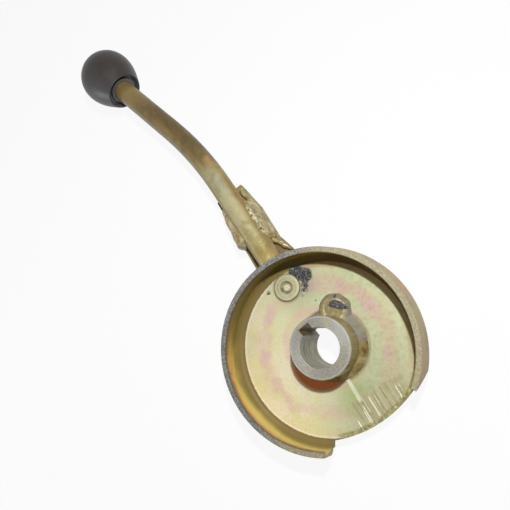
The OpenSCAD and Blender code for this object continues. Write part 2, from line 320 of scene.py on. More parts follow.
# Rivet's rings are painted light and shade: a highlight on the stub, shade in the groove and hollow, a
# lighter outer ring, a darker edge
FLANGE_SHADING_STOPS = [
    (0.2, (0.66, 0.62, 0.42)), (0.28, (0.5, 0.46, 0.28)), (0.34, (0.13, 0.12, 0.07)),
    (0.44, (0.17, 0.155, 0.09)), (0.52, (0.48, 0.45, 0.27)), (0.7, (0.4, 0.38, 0.22)),
    (0.86, (0.56, 0.52, 0.34)), (0.97, (0.3, 0.27, 0.15)),
]
WELD_STOPS = [
    (0.36, BROWN), (0.45, (0.28, 0.21, 0.075)),
    (0.56, (0.36, 0.28, 0.12)), (0.68, (0.46, 0.4, 0.24)),
]
BEAD_STOPS = [(0.36, (0.24, 0.17, 0.055)), (0.48, (0.34, 0.26, 0.1)), (0.6, (0.43, 0.35, 0.16))]
SLAG_STOPS = [
    (0.4, (0.02, 0.02, 0.025)), (0.53, (0.08, 0.08, 0.09)),
    (0.6, (0.25, 0.25, 0.26)), (0.68, (0.6, 0.6, 0.58)),
]
KNOB_STOPS = [(0.35, (0.024, 0.017, 0.014)), (0.6, (0.036, 0.028, 0.024)), (0.72, (0.05, 0.042, 0.038))]


class Nodes:
    """Shorthand for building a material's node tree, with places in millimetres."""

    def __init__(self, name, origin=(0, 0, 0)):
        self.material = bpy.data.materials.new(name)
        self.material.use_nodes = True
        self.tree = self.material.node_tree
        self.shader = self.tree.nodes["Principled BSDF"]
        coordinates = self.add("ShaderNodeTexCoord").outputs["Object"]
        scaled = self.vector("SCALE", coordinates, scale=1 / MM)
        self.place = self.vector("SUBTRACT", scaled, tuple(origin))
        self.x, self.y, self.z = self.split(self.place)

    def add(self, kind, **settings):
        node = self.tree.nodes.new(kind)
        for key, value in settings.items():
            setattr(node, key, value)
        return node

    def link(self, source, target):
        self.tree.links.new(source, target)

    def feed(self, socket, value):
        """Links a socket to another, or sets its own value."""
        if isinstance(value, bpy.types.NodeSocket):
            self.link(value, socket)
        elif isinstance(value, tuple) and socket.type == "RGBA":
            socket.default_value = (*value, 1)
        else:
            socket.default_value = value

    def vector(self, operation, a, b=None, scale=None):
        """Result of a vector operation, a number or a vector."""
        node = self.add("ShaderNodeVectorMath", operation=operation)
        self.feed(node.inputs[0], a)
        if b is not None:
            self.feed(node.inputs[1], b)
        if scale is not None:
            node.inputs["Scale"].default_value = scale
        return node.outputs["Value" if operation in ("DISTANCE", "LENGTH", "DOT_PRODUCT") else "Vector"]

    def split(self, vector):
        """The three parts of a vector."""
        node = self.add("ShaderNodeSeparateXYZ")
        self.link(vector, node.inputs["Vector"])
        return node.outputs

    def noise(self, scale, detail=4.0, rough=0.55, distort=0.0, stretch=None):
        """Noise with a scale per millimetre, which may differ along X, Y and Z."""
        place = self.place if stretch is None else self.vector("MULTIPLY", self.place, stretch)
        node = self.add("ShaderNodeTexNoise")
        self.link(place, node.inputs["Vector"])
        node.inputs["Scale"].default_value = scale
        node.inputs["Detail"].default_value = detail
        node.inputs["Roughness"].default_value = rough
        node.inputs["Distortion"].default_value = distort
        return node.outputs["Fac"]

    def ramp(self, source, stops):
        """Colour at a value, between stops of a value and a colour."""
        node = self.add("ShaderNodeValToRGB")
        ramp = node.color_ramp
        while len(ramp.elements) < len(stops):
            ramp.elements.new(0.5)
        for element, (at, colour) in zip(ramp.elements, stops):
            element.position = at
            element.color = (*colour, 1)
        self.link(source, node.inputs["Fac"])
        return node.outputs["Color"]

    def level(self, source, start, end, before=0.0, after=1.0):
        """Smooth step of a value: before at the start, after at the end, which may lie lower."""
        node = self.add("ShaderNodeMapRange", interpolation_type="SMOOTHSTEP")
        self.link(source, node.inputs["Value"])
        node.inputs["From Min"].default_value = start
        node.inputs["From Max"].default_value = end
        node.inputs["To Min"].default_value = before
        node.inputs["To Max"].default_value = after
        return node.outputs["Result"]

    def math(self, operation, a, b=0.0):
        node = self.add("ShaderNodeMath", operation=operation)
        self.feed(node.inputs[0], a)
        self.feed(node.inputs[1], b)
        return node.outputs["Value"]

    def plus(self, a, b):
        return self.math("ADD", a, b)

    def minus(self, a, b):
        return self.math("SUBTRACT", a, b)

    def times(self, first, *others):
        for other in others:
            first = self.math("MULTIPLY", first, other)
        return first

    def most(self, first, *others):
        """The largest of some values."""
        for other in others:
            first = self.math("MAXIMUM", first, other)
        return first

    def spot(self, centre, radius, soft):
        """One within a radius of a point, fading to nothing over a soft edge."""
        return self.level(self.vector("DISTANCE", self.place, tuple(centre)), radius, radius - soft)

    def window(self, value, low, high, soft):
        """One where a value lies between two levels."""
        return self.times(self.level(value, low, low + soft), self.level(value, high, high - soft))

    def from_axis(self, centre=(0.0, 0.0)):
        """Distance from a line along Z."""
        dx = self.minus(self.x, centre[0])
        dy = self.minus(self.y, centre[1])
        return self.math("SQRT", self.plus(self.times(dx, dx), self.times(dy, dy)))

    def mix(self, factor, a, b, blend="MIX"):
        """Colour a with a share of colour b laid over it."""
        node = self.add("ShaderNodeMix", data_type="RGBA", blend_type=blend)
        self.feed(node.inputs["Factor"], factor)
        self.feed([s for s in node.inputs if s.name == "A" and s.type == "RGBA"][0], a)
        self.feed([s for s in node.inputs if s.name == "B" and s.type == "RGBA"][0], b)
        return [s for s in node.outputs if s.type == "RGBA"][0]

    def soft_edges(self, radius=0.25):
        """Normal that rounds the sharp edges over a radius in millimetres."""
        node = self.add("ShaderNodeBevel", samples=4)
        node.inputs["Radius"].default_value = radius * MM
        return node.outputs["Normal"]

    def bump(self, height, depth, below=None):
        """Bump whose full height is a depth in millimetres."""
        node = self.add("ShaderNodeBump")
        node.inputs["Strength"].default_value = 1.0
        node.inputs["Distance"].default_value = depth * MM
        self.link(height, node.inputs["Height"])
        if below is not None:
            self.link(below, node.inputs["Normal"])
        return node.outputs["Normal"]

    def finish(self, colour, rough, normal, metallic, specular):
        """Feeds the shader. A value that is the same all over is set on its own socket."""
        self.feed(self.shader.inputs["Base Color"], colour)
        self.feed(self.shader.inputs["Roughness"], rough)
        self.feed(self.shader.inputs["Metallic"], metallic)
        self.shader.inputs["Specular IOR Level"].default_value = specular
        self.link(normal, self.shader.inputs["Normal"])
        return self.material


# ---- Cup and tongue ----

def banded_film(n, axis):
    """Thin film on the cup floor: pale green with patches of pink bands, yellower film and painted light on
    one side.
    """
    wander = n.noise(0.04, 3, 0.5, 0.8)
    phase = n.plus(n.times(axis, 2 * math.pi / PINK_STEP), n.times(wander, PINK_WANDER))
    band_middle = 2 * math.pi * PINK_R / PINK_STEP + PINK_WANDER / 2
    bands = n.math("COSINE", n.minus(phase, band_middle))
    film = n.plus(n.times(bands, 0.2), n.noise(0.13, 5, 0.65))
    colour = n.mix(n.level(film, 0.3, 0.62), GREEN, CREAM)
    # Yellower film on the +Y side, made paler there as painted light
    pale_film_and_light = n.mix(n.level(n.noise(0.07, 4, 0.6, 0.6), 0.4, 0.6), YELLOW, PEARL)
    film_and_light_side = n.times(n.level(n.y, 0, 30, 0, 0.85), n.level(wander, 0.25, 0.5))
    colour = n.mix(film_and_light_side, colour, pale_film_and_light)
    patches = n.level(n.noise(0.045, 2, 0.5, 0.3), 0.42, 0.56, 0.25, 1.0)
    away_from_cut = n.level(n.x, -32, -14, 0.3, 1.0)
    pink = n.times(n.level(film, 0.42, 0.86, 0, 0.9), away_from_cut, patches)
    colour = n.mix(pink, colour, PINK)
    return n.mix(n.spot(*GREEN_PATCH), colour, LEAF)


def floor_shading_and_haze(n, axis, colour):
    """Floor's painted light and shade: a highlight on the edge, shade round the rivet and weld and under the
    rim; a dull haze by the rivet.
    """
    # Painted highlight along the floor's edge on the +Y side
    edge_highlight = n.times(n.window(axis, FLAT_R - 1.6, FLAT_R + 0.8, 0.9), n.level(n.y, 0, 20, 0, 0.85))
    colour = n.mix(edge_highlight, colour, EDGE_HIGHLIGHT)
    # Painted shade in a ring where the rivet and the hub's weld meet the floor
    for centre, radius in ((RIVET_AT, RIVET_R), (SHAFT + FOOT_SHIFT, FOOT_R)):
        outline = n.window(n.from_axis(centre.xy), radius - 0.6, radius + 1.3, 0.7)
        colour = n.mix(n.times(outline, 0.5), colour, CONTACT_SHADE)
    # Painted shade: brown on the floor where the rim's shadow falls, on the side towards the key lamp
    to_lamp = n.plus(n.times(n.x, LAMP_SIDE[0]), n.times(n.y, LAMP_SIDE[1]))
    rim_shadow = n.times(n.level(axis, FLAT_R - 3.4, FLAT_R - 1.8), n.level(to_lamp, 16, 32))
    colour = n.mix(n.times(rim_shadow, 0.7), colour, RIM_SHADE)
    return n.mix(n.times(n.spot(*DULL_PATCH), 0.5), colour, DULL)


def floor_film(n, axis):
    """Cup floor: banded film with painted light and shade, smudged and darkened by painted shade on one side,
    finely lined.
    """
    colour = floor_shading_and_haze(n, axis, banded_film(n, axis))
    smudges = n.mix(n.level(n.noise(0.5, 6, 0.75), 0.4, 0.68), SMUDGE_LIGHT, SMUDGE_DARK)
    # Smudges of dirt, spread so that they also darken the -Y side as painted shade
    smudged_and_shaded_side = n.minus(n.times(n.x, -0.4), n.y)
    colour = n.mix(n.level(smudged_and_shaded_side, -20, 26, 0.04, 0.95), colour, smudges, "MULTIPLY")
    lines = n.noise(1.0, 4, 0.7, 0.0, (0.05, 1.1, 0.05))
    return n.mix(n.level(lines, 0.6, 0.72, 0, 0.25), colour, LILAC)


def plate_film(n):
    """Tongue: olive film, darkened by painted shade at the cup and in the crevice beside the rod's weld."""
    clouds = n.noise(0.2, 5, 0.65)
    colour = n.ramp(clouds, PLATE_STOPS)
    # Painted shade in the crevice beside the rod's weld and on the tongue's end at the cup
    crevice = n.times(n.window(n.x, 80, 94, 3), n.window(n.y, -8.2, -4.4, 1.2))
    at_cup = n.level(n.x, 61, 56)
    darkened = n.times(n.most(crevice, at_cup), n.level(clouds, 0.36, 0.56, 1.0, 0.8))
    return n.mix(darkened, colour, PLATE_SHADE)


def inside_film(n, clouds):
    """Thick film inside the wall: olive, gold and orange with height, under painted light and shade on its
    sides and foot.
    """
    height = n.times(n.minus(n.z, FLOOR), 1 / (RIM - FLOOR))
    drifting = n.plus(height, n.times(n.minus(clouds, 0.5), 1.3))
    colour = n.ramp(drifting, INSIDE_STOPS)
    # Painted light: brighter gold on the lower part of the +Y wall, which faces the lamp
    painted_light = n.times(n.level(n.y, 2, 28), n.level(n.x, 18, -8), n.window(height, 0.06, 0.86, 0.32))
    colour = n.mix(n.times(painted_light, 0.7), colour, WALL_PAINTED_LIGHT)
    # Painted shade on the wall on the rod's side and on the -Y side
    colour = n.mix(n.level(n.x, 12, 36, 0, 0.9), colour, WALL_ROD_SHADE)
    colour = n.mix(n.level(n.y, -12, -34, 0, 0.7), colour, WALL_RIGHT_SHADE)
    # Painted shade at the foot of the wall on the +Y side, where it meets the floor
    foot = n.times(n.level(n.z, FLOOR + 4.4, FLOOR + 0.8, 0, 0.85), n.level(n.y, -12, 8))
    colour = n.mix(foot, colour, WALL_FOOT_SHADE)
    # Painted light: brighter gold low on the -Y wall
    low_right = n.times(n.window(n.z, FLOOR + 0.5, FLOOR + 12, 4), n.level(n.y, -2, -22))
    painted_glow = n.times(low_right, n.level(clouds, 0.36, 0.54, 0.5, 1.0))
    colour = n.mix(painted_glow, colour, WALL_PAINTED_GLOW)
    return n.mix(n.level(n.z, RIM - 4, RIM, 0, 0.7), colour, BROWN)


def wall_film(n, axis):
    """Film beyond the flat floor: inside the wall, outside it, and on the tongue behind it."""
    clouds = n.noise(0.06, 3, 0.5, 0.7)
    behind = n.level(n.z, FLOOR_BACK + 0.2, FLOOR_BACK - 0.1)
    inside = n.mix(behind, inside_film(n, clouds), plate_film(n))
    beyond = n.level(axis, OUTSIDE_R - 0.2, OUTSIDE_R + 0.2)
    on_outside = n.minus(beyond, n.times(beyond, behind))
    return n.mix(on_outside, inside, n.ramp(clouds, OUTSIDE_STOPS))


def scuffs(n, axis, colour):
    """Striped wear and bright scratches beside the wall cut-out. Returns the colour and the scratches."""
    on_floor = n.times(n.level(n.z, FLOOR - 0.3, FLOOR - 0.1), n.level(axis, FLAT_R + 0.6, FLAT_R))
    lines = n.noise(1.0, 4, 0.7, 0.0, (0.02, 1.0, 0.02))
    ragged = n.plus(n.x, n.times(n.noise(0.35, 4, 0.7), 9.0))
    beside = n.times(n.level(ragged, SCUFF_FROM + 5.2, SCUFF_FROM + 3.6), n.window(n.y, -27, 5, 4), on_floor)
    patchy = n.level(n.noise(0.25, 4, 0.7, 0.5), 0.4, 0.56, 0.45, 1.0)
    colour = n.mix(n.times(beside, patchy), colour, n.ramp(lines, STRIPE_STOPS))
    marks = []
    for side, start, end, half in SCRATCHES:
        across = n.window(n.y, side - half, side + half, half * 0.6)
        marks.append(n.times(across, n.window(n.x, end, start, 2.0)))
    scratched = n.times(n.most(*marks), on_floor, n.level(lines, 0.36, 0.6, 0.45, 1.0))
    return n.mix(scratched, colour, PALE), scratched


def sheared_edge(n, colour):
    """Nicked edge of the floor along the wall cut-out."""
    edge = n.plus(n.from_axis(CUT_EDGE_AT), n.times(n.noise(0.6, 4, 0.7), 1.6))
    at_edge = n.times(n.level(edge, CUT_EDGE_R - 2.0, CUT_EDGE_R - 0.9), n.level(n.x, -22, -27))
    below_wall = n.times(n.level(n.z, FLOOR + 1.6, FLOOR + 1.1), n.level(n.y, 17, 14))
    nicks = n.ramp(n.noise(0.8, 4, 0.7), NICK_STOPS)
    return n.mix(n.times(at_edge, below_wall, 0.9), colour, nicks)


def on_floor_face(n):
    """One from the floor's upper face upwards."""
    return n.level(n.z, FLOOR - 0.5, FLOOR - 0.1)


def soot_patch(n, colour):
    """Granular soot and a grey smear beside the rivet. Returns the colour and the soot."""
    parts = []
    for place, radius, strength in SOOT:
        parts.append(n.times(n.spot(place, radius * 1.6, radius * 1.6), strength))
    patch = n.most(*parts)
    ragged = n.plus(n.times(n.noise(0.28, 4, 0.7), 1.1), n.times(n.noise(1.3, 4, 0.75), 0.9))
    flat = on_floor_face(n)
    soot = n.times(n.level(n.plus(patch, ragged), 1.38, 1.62), flat, n.level(patch, 0.02, 0.2))
    smear = n.times(n.spot(*SMEAR_PATCH), n.level(ragged, 0.8, 1.1, 0.1, 0.5), flat)
    colour = n.mix(smear, colour, SMEAR)
    return n.mix(soot, colour, n.ramp(n.noise(0.9, 4, 0.7), SOOT_STOPS)), soot


def rim_metal(n, axis, sheared):
    """Sheared rim: grey zinc, under film on the right and at the cut-out, dark at both edges."""
    filmed_side = n.most(n.level(n.y, -8, -34), n.level(n.x, -14, -34, 0, 0.8))
    colour = n.mix(filmed_side, n.ramp(sheared, RIM_ZINC_STOPS), n.ramp(sheared, RIM_FILM_STOPS))
    edges = n.most(n.level(axis, RIM_IN + 0.55, RIM_IN), n.level(axis, CUP_R - 0.55, CUP_R))
    return n.mix(n.times(edges, 0.6), colour, RIM_EDGE)


def sheet_material():
    """Cup and tongue: drawn sheet under an iridescent film, grey on the sheared rim."""
    n = Nodes("passivated_sheet", CUP_AXIS)
    axis = n.from_axis()
    grain = n.noise(1.5, 5, 0.65)
    ragged = n.plus(axis, n.times(n.noise(0.8, 4, 0.65), 0.8))
    wall = n.level(ragged, FLAT_R + 0.15, FLAT_R + 0.5)
    colour = n.mix(wall, floor_film(n, axis), wall_film(n, axis))
    # Red-brown tint where the hub's shadow falls in the photo
    in_hub_shade = n.times(n.spot(*HUB_SHADE_PATCH), on_floor_face(n))
    colour = n.mix(in_hub_shade, colour, HUB_SHADE)
    colour, marks = scuffs(n, axis, colour)
    colour = sheared_edge(n, colour)
    haze = n.times(n.level(grain, 0.42, 0.72, 0, 0.38), n.minus(1.0, wall))
    colour = n.mix(haze, colour, HAZE)
    specks = n.level(n.noise(2.4, 2, 0.5), 0.69, 0.74, 0, 0.5)
    colour = n.mix(specks, colour, BROWN)
    colour, soot = soot_patch(n, colour)
    rim = n.level(n.z, RIM - 0.45, RIM - 0.1)
    sheared = n.noise(1.4, 5, 0.7)
    colour = n.mix(rim, colour, rim_metal(n, axis, sheared))
    rough = n.plus(n.level(grain, 0.3, 0.8, 0.36, 0.5), n.times(soot, 0.3))
    rough = n.minus(rough, n.times(marks, 0.1))
    metallic = n.minus(0.22, n.times(n.most(wall, soot), 0.21))
    normal = n.bump(grain, 0.05, n.soft_edges(0.3))
    normal = n.bump(n.times(sheared, n.most(rim, soot)), 0.3, normal)
    normal = n.bump(n.minus(1.0, marks), 0.1, normal)
    return n.finish(colour, rough, normal, metallic, specular=0.12)


# ---- Rod ----

def bar_film(n, clouds):
    """Rod's film: olive near the cup, brown beyond, and lighter at the knob."""
    streaks = n.noise(1.0, 4, 0.6, 0.0, (0.03, 0.35, 0.35))
    film = n.plus(n.times(streaks, 0.3), n.times(clouds, 0.7))
    colour = n.mix(n.level(n.x, 105, 140), n.ramp(film, ROD_NEAR_STOPS), n.ramp(film, ROD_FAR_STOPS))
    return n.mix(n.level(n.x, 158, 186, 0, 0.6), colour, ROD_AT_KNOB)


def bar_flanks(n, colour):
    """Painted shade on one flank of the rod and a painted sheen on the other, beyond the welds."""
    turned = n.split(n.add("ShaderNodeNewGeometry").outputs["Normal"])["Y"]
    flank_shade = n.times(n.window(n.x, 104, 176, 16), n.level(turned, 0.35, -0.1, 0, 0.55))
    colour = n.mix(flank_shade, colour, ROD_FLANK_SHADE)
    flank_sheen = n.times(n.window(n.x, 104, 196, 16), n.level(turned, 0.4, 0.85, 0, 0.6))
    return n.mix(flank_sheen, colour, ROD_FLANK_SHEEN)


def bar_wear(n, clouds, mottle, colour):
    """Rod between the cup and the bend: pale top of wear and painted highlight, burnt sides darkened by
    painted shade, coppery spots of heat.
    """
    # Pale top: wear together with a painted highlight
    worn_and_lit_top = n.times(n.level(n.z, ROD_Z + 3.2, ROD_Z + 5.8), n.window(n.x, 52, 116, 18))
    wear_and_highlight = n.times(worn_and_lit_top, n.level(clouds, 0.38, 0.58, 0.4, 0.95))
    colour = n.mix(wear_and_highlight, colour, n.mix(n.level(n.x, 84, 100), ROD_WEAR_HIGHLIGHT_NEAR, ROD_WEAR_HIGHLIGHT_FAR))
    # Sides below the top: heat tint from the weld together with painted shade
    burnt_and_shaded_side = n.times(n.level(n.x, 110, 94), n.level(n.z, ROD_Z + 5.0, ROD_Z + 2.6))
    darkened = n.times(burnt_and_shaded_side, n.level(clouds, 0.4, 0.56, 0.35, 0.9))
    colour = n.mix(darkened, colour, ROD_BURNT_SHADE)
    hot = n.most(*[n.spot(*spot) for spot in HOT_SPOTS])
    colour = n.mix(n.times(hot, 0.8), colour, ROD_HOT)
    at_cup = n.times(n.level(n.x, 62, 50), n.level(mottle, 0.4, 0.56, 0, 0.6))
    return n.mix(at_cup, colour, ROD_AT_CUP)


def bar_material():
    """Rod: drawn bar under an olive-brown film with painted shade and highlights, worn, burnt and mottled
    near the cup.
    """
    n = Nodes("passivated_bar", CUP_AXIS)
    clouds = n.noise(0.1, 4, 0.6, 0.4)
    mottle = n.noise(0.32, 4, 0.6, 0.6)
    grain = n.noise(1.8, 5, 0.65)
    colour = bar_flanks(n, bar_film(n, clouds))
    colour = bar_wear(n, clouds, mottle, colour)
    colour = n.mix(n.level(grain, 0.54, 0.74, 0, 0.35), colour, BROWN)
    rough = n.level(mottle, 0.3, 0.7, 0.32, 0.44)
    normal = n.bump(n.times(mottle, n.level(n.x, 106, 90)), 0.32, n.soft_edges())
    normal = n.bump(grain, 0.03, normal)
    return n.finish(colour, rough, normal, metallic=0.16, specular=0.3)


# ---- Hub and rivet ----

def hub_face(n, axis, grain, patches):
    """Hub's end face: grey, filmed in patches, with a painted highlight along its outer edge."""
    colour = n.ramp(grain, FACE_STOPS)
    colour = n.mix(n.level(patches, 0.5, 0.64, 0, 0.6), colour, FACE_FILM)
    return n.mix(n.level(axis, HUB_R - 1.1, HUB_R - 0.5, 0, 0.6), colour, FACE_EDGE_HIGHLIGHT)


def hub_sides(n, axis):
    """Hub's outside with brown flutes, its bore with tool lines, and painted shade in the keyway."""
    side = n.ramp(n.noise(0.45, 4, 0.65, 0.0, (1.0, 1.0, 0.08)), HUB_SIDE_STOPS)
    bore = n.ramp(n.noise(0.5, 4, 0.6, 0.0, (0.2, 0.2, 1.0)), BORE_STOPS)
    colour = n.mix(n.level(axis, HUB_R - 1.2, HUB_R - 1.8), side, bore)
    keyway = n.window(axis, BORE_R + 0.15, HUB_R - 1.2, 0.4)
    return n.mix(n.times(keyway, 0.85), colour, KEYWAY_SHADE)


def rivet_flange(n, patches):
    """Rivet: filmed in patches, with rings of painted light and shade from the mandrel's stub to the flange's
    edge.
    """
    ring = n.times(n.from_axis((RIVET_AT + CUP_AXIS).xy), 1 / RIVET_R)
    return n.mix(n.level(patches, 0.45, 0.6, 0, 0.5), n.ramp(ring, FLANGE_SHADING_STOPS), FLANGE_FILM)


def hub_material():
    """Hub and rivet: turned steel with tool rings on the face and a brown film on the sides."""
    n = Nodes("hub_steel")
    axis = n.from_axis()
    grain = n.noise(1.2, 5, 0.7)
    patches = n.noise(0.2, 4, 0.6, 0.4)
    on_face = n.most(n.level(n.z, HUB_TOP - 0.5, HUB_TOP - 0.15), n.level(n.z, 0.4, 0.1))
    colour = n.mix(on_face, hub_sides(n, axis), hub_face(n, axis, grain, patches))
    on_rivet = n.spot(RIVET_AT + CUP_AXIS, 14, 1)
    colour = n.mix(on_rivet, colour, rivet_flange(n, patches))
    pits = n.level(n.noise(2.2, 3, 0.6), 0.6, 0.72, 0, 0.6)
    colour = n.mix(pits, colour, BROWN)
    rough = n.level(grain, 0.3, 0.75, 0.36, 0.55)
    rings = n.math("SINE", n.plus(n.times(axis, 12.0), n.times(n.noise(0.3, 2, 0.5), 6.0)))
    normal = n.bump(n.times(rings, on_face), 0.03, n.soft_edges(0.35))
    normal = n.bump(grain, 0.14, normal)
    return n.finish(colour, rough, normal, metallic=0.3, specular=0.4)


# ---- Welds and slag ----

def weld_material():
    """Hub's weld: olive under the film, grey where the flame swept it clean, darker on the stop lump."""
    n = Nodes("weld_metal", CUP_AXIS)
    grain = n.noise(1.5, 5, 0.65)
    pits = n.noise(0.6, 3, 0.6)
    colour = n.ramp(n.noise(0.16, 4, 0.6, 0.5), WELD_STOPS)
    lump = n.from_axis((SHAFT + LUMP_AT).xy)
    swept_side = n.spot(SHAFT + SWEPT_AT + Vector((0, 0, FLOOR + 1)), 9, 4)
    round_lump = n.times(n.window(lump, LUMP_TOP_R, LUMP_R + 1.5, 0.8), n.level(lump, 12, 9))
    patchy = n.level(n.noise(0.35, 5, 0.7), 0.36, 0.6, 0.3, 1.0)
    colour = n.mix(n.times(n.most(swept_side, round_lump), patchy), colour, SWEPT)
    top = n.times(n.level(lump, LUMP_TOP_R + 0.4, LUMP_TOP_R - 0.6), n.level(n.z, FLOOR + 2, FLOOR + 2.6))
    colour = n.mix(n.times(top, 0.85), colour, LUMP_TOP)
    along_edge = n.window(lump, LUMP_TOP_R - 1.7, LUMP_TOP_R + 0.1, 0.6)
    ridge = n.times(along_edge, n.level(pits, 0.36, 0.52, 0.2, 1))
    colour = n.mix(n.times(ridge, 0.7), colour, LUMP_RIDGE)
    colour = n.mix(n.level(grain, 0.5, 0.75, 0, 0.4), colour, BROWN)
    rough = n.level(grain, 0.3, 0.75, 0.4, 0.58)
    return n.finish(colour, rough, n.bump(grain, 0.1), metallic=0.2, specular=0.3)


def bead_material():
    """Rod's welds: golden olive like the rod, painted glints on the ridges, painted shade at the foot, porous
    in a strip beside the rod.
    """
    n = Nodes("bead_metal", CUP_AXIS)
    clouds = n.noise(0.2, 4, 0.6, 0.5)
    mottle = n.noise(0.24, 3, 0.5, 0.4)
    pits = n.noise(0.6, 3, 0.6)
    colour = n.ramp(clouds, BEAD_STOPS)
    # Painted glints on the ridges of the bump
    colour = n.mix(n.level(mottle, 0.5, 0.64, 0, 0.5), colour, BEAD_GLINT)
    # Painted shade at the weld's foot, where it meets the tongue
    foot = n.times(n.level(n.z, FLOOR_BACK + 2.2, FLOOR_BACK + 0.3), n.level(clouds, 0.36, 0.56, 1.0, 0.4))
    colour = n.mix(n.times(foot, 0.8), colour, BEAD_FOOT_SHADE)
    porous = n.times(n.window(n.x, 62, 82, 3), n.window(n.y, -7.6, -4.0, 1.0))
    colour = n.mix(n.times(porous, n.level(pits, 0.46, 0.6)), colour, PORE_EDGE)
    colour = n.mix(n.times(porous, n.level(pits, 0.44, 0.36)), colour, PORE)
    rough = n.level(mottle, 0.3, 0.7, 0.26, 0.36)
    normal = n.bump(mottle, 0.5)
    normal = n.bump(n.times(porous, pits), 1.4, normal)
    return n.finish(colour, rough, normal, metallic=0.16, specular=0.4)


def slag_material():
    """Slag: a dark crust with pale grains."""
    n = Nodes("slag")
    crust = n.noise(1.4, 5, 0.75)
    rough = n.level(crust, 0.3, 0.7, 0.4, 0.7)
    return n.finish(n.ramp(crust, SLAG_STOPS), rough, n.bump(crust, 0.3), metallic=0.0, specular=0.3)


# ---- Knob ----

def knob_material():
    """Knob: dark moulded plastic, greyer in its recess, with a painted sheen on one side near the lip."""
    n = Nodes("knob_plastic", CUP_AXIS)
    mould = n.noise(2.4, 4, 0.6)
    handling = n.noise(0.11, 4, 0.6, 0.3)
    from_lip = n.vector("SUBTRACT", n.place, tuple(KNOB_LIP))
    along = n.vector("DOT_PRODUCT", from_lip, tuple(KNOB_ALONG))
    across = n.vector("DOT_PRODUCT", from_lip, (-KNOB_ALONG.y, KNOB_ALONG.x, 0))
    span = n.vector("LENGTH", from_lip)
    radial = n.math("SQRT", n.minus(n.times(span, span), n.times(along, along)))
    colour = n.ramp(handling, KNOB_STOPS)
    colour = n.mix(n.level(mould, 0.6, 0.75, 0, 0.4), colour, KNOB_SPECK)
    within = n.level(radial, RECESS_R + 0.3, RECESS_R - 0.1)
    recess = n.times(within, n.level(along, RECESS_DEPTH + 0.4, RECESS_DEPTH + 0.1))
    colour = n.mix(n.times(recess, 0.8), colour, KNOB_RECESS)
    # Painted sheen on one side near the lip
    sheen_side = n.times(n.level(across, -4, 14), n.level(along, 24, 7))
    colour = n.mix(n.times(sheen_side, 0.7), colour, KNOB_SHEEN)
    rough = n.level(handling, 0.3, 0.7, 0.34, 0.46)
    return n.finish(colour, rough, n.bump(mould, 0.04, n.soft_edges(0.5)), metallic=0.0, specular=0.42)


# ---- Added pieces: welds, slag and spatter ----

def add_piece(name, mesh, material, replaced=None):
    """Makes a smooth piece of a bmesh built in millimetres, riding on the lever."""
    bmesh.ops.recalc_face_normals(mesh, faces=mesh.faces)
    bmesh.ops.scale(mesh, vec=(MM, MM, MM), verts=mesh.verts)
    data = bpy.data.meshes.new(name)
    mesh.to_mesh(data)
    mesh.free()
    data.shade_smooth()
    data.materials.append(material)
    piece = bpy.data.objects.new(name, data)
    bpy.context.collection.objects.link(piece)
    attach(piece, "root")
    if replaced:
        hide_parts(replaced)


def upright(height):
    """Vector along Z."""
    return Vector((0, 0, height))


def loft(sections):
    """Closed mesh through a row of closed sections, each with as many points."""
    mesh = bmesh.new()
    loops = [[mesh.verts.new(point) for point in section] for section in sections]
    count = len(loops[0])
    for one, two in zip(loops, loops[1:]):
        for i in range(count):
            mesh.faces.new((one[i], one[(i + 1) % count], two[(i + 1) % count], two[i]))
    mesh.faces.new(loops[0])
    mesh.faces.new(loops[-1])
    return mesh


def along_stops(stops, along):
    """Reach and top of a weld at a distance along the rod, between its stops."""
    for (one, *low), (two, *high) in zip(stops, stops[1:]):
        if along <= two:
            share = (along - one) / (two - one)
            share = share * share * (3 - 2 * share)
            return [a + (b - a) * share for a, b in zip(low, high)]
    return stops[-1][1:]


def rod_weld_section(side, along, reach, top, bulge):
    """Outline of a rod's weld at a distance along the rod: a flat base in the tongue, and an arc above."""
    across = 18
    sunk = 0.1
    lift = 0.05
    inner = ROD_R * 0.74
    axis = CUP_AXIS + ROD_START + along * ROD_ALONG
    outline = [axis + side * inner * 0.5 * ROD_ACROSS, axis + side * (reach - sunk) * ROD_ACROSS]
    heights = [-sunk, -sunk]
    for j in range(across + 1):
        angle = math.pi / 2 * j / across
        wave = 0.05 * noise.noise(Vector((along * 0.3, j * 0.2, side * 3.0)))
        out = inner + (reach - inner) * (1 + wave) * math.cos(angle) ** bulge
        outline.append(axis + side * min(out, reach) * ROD_ACROSS)
        heights.append(top * (1 + wave) * math.sin(angle) ** bulge + lift)
    for point, height in zip(outline, heights):
        point.z = FLOOR_BACK + height
    return outline


def rod_weld(name, side, stops, bulge, material):
    """Weld beside the rod, from the tongue's edge up over the rod's flank, closed under the rod."""
    steps = 120
    start = stops[0][0]
    end = stops[-1][0]
    sections = []
    for i in range(steps + 1):
        along = start + (end - start) * i / steps
        reach, top = along_stops(stops, along)
        drift = noise.noise(Vector((along * 0.2, side * 7.0, 0.0)))
        reach += 0.3 * drift
        top += 0.4 * drift
        sections.append(rod_weld_section(side, along, reach, top, bulge))
    add_piece(name + "_bead", loft(sections), material, name)


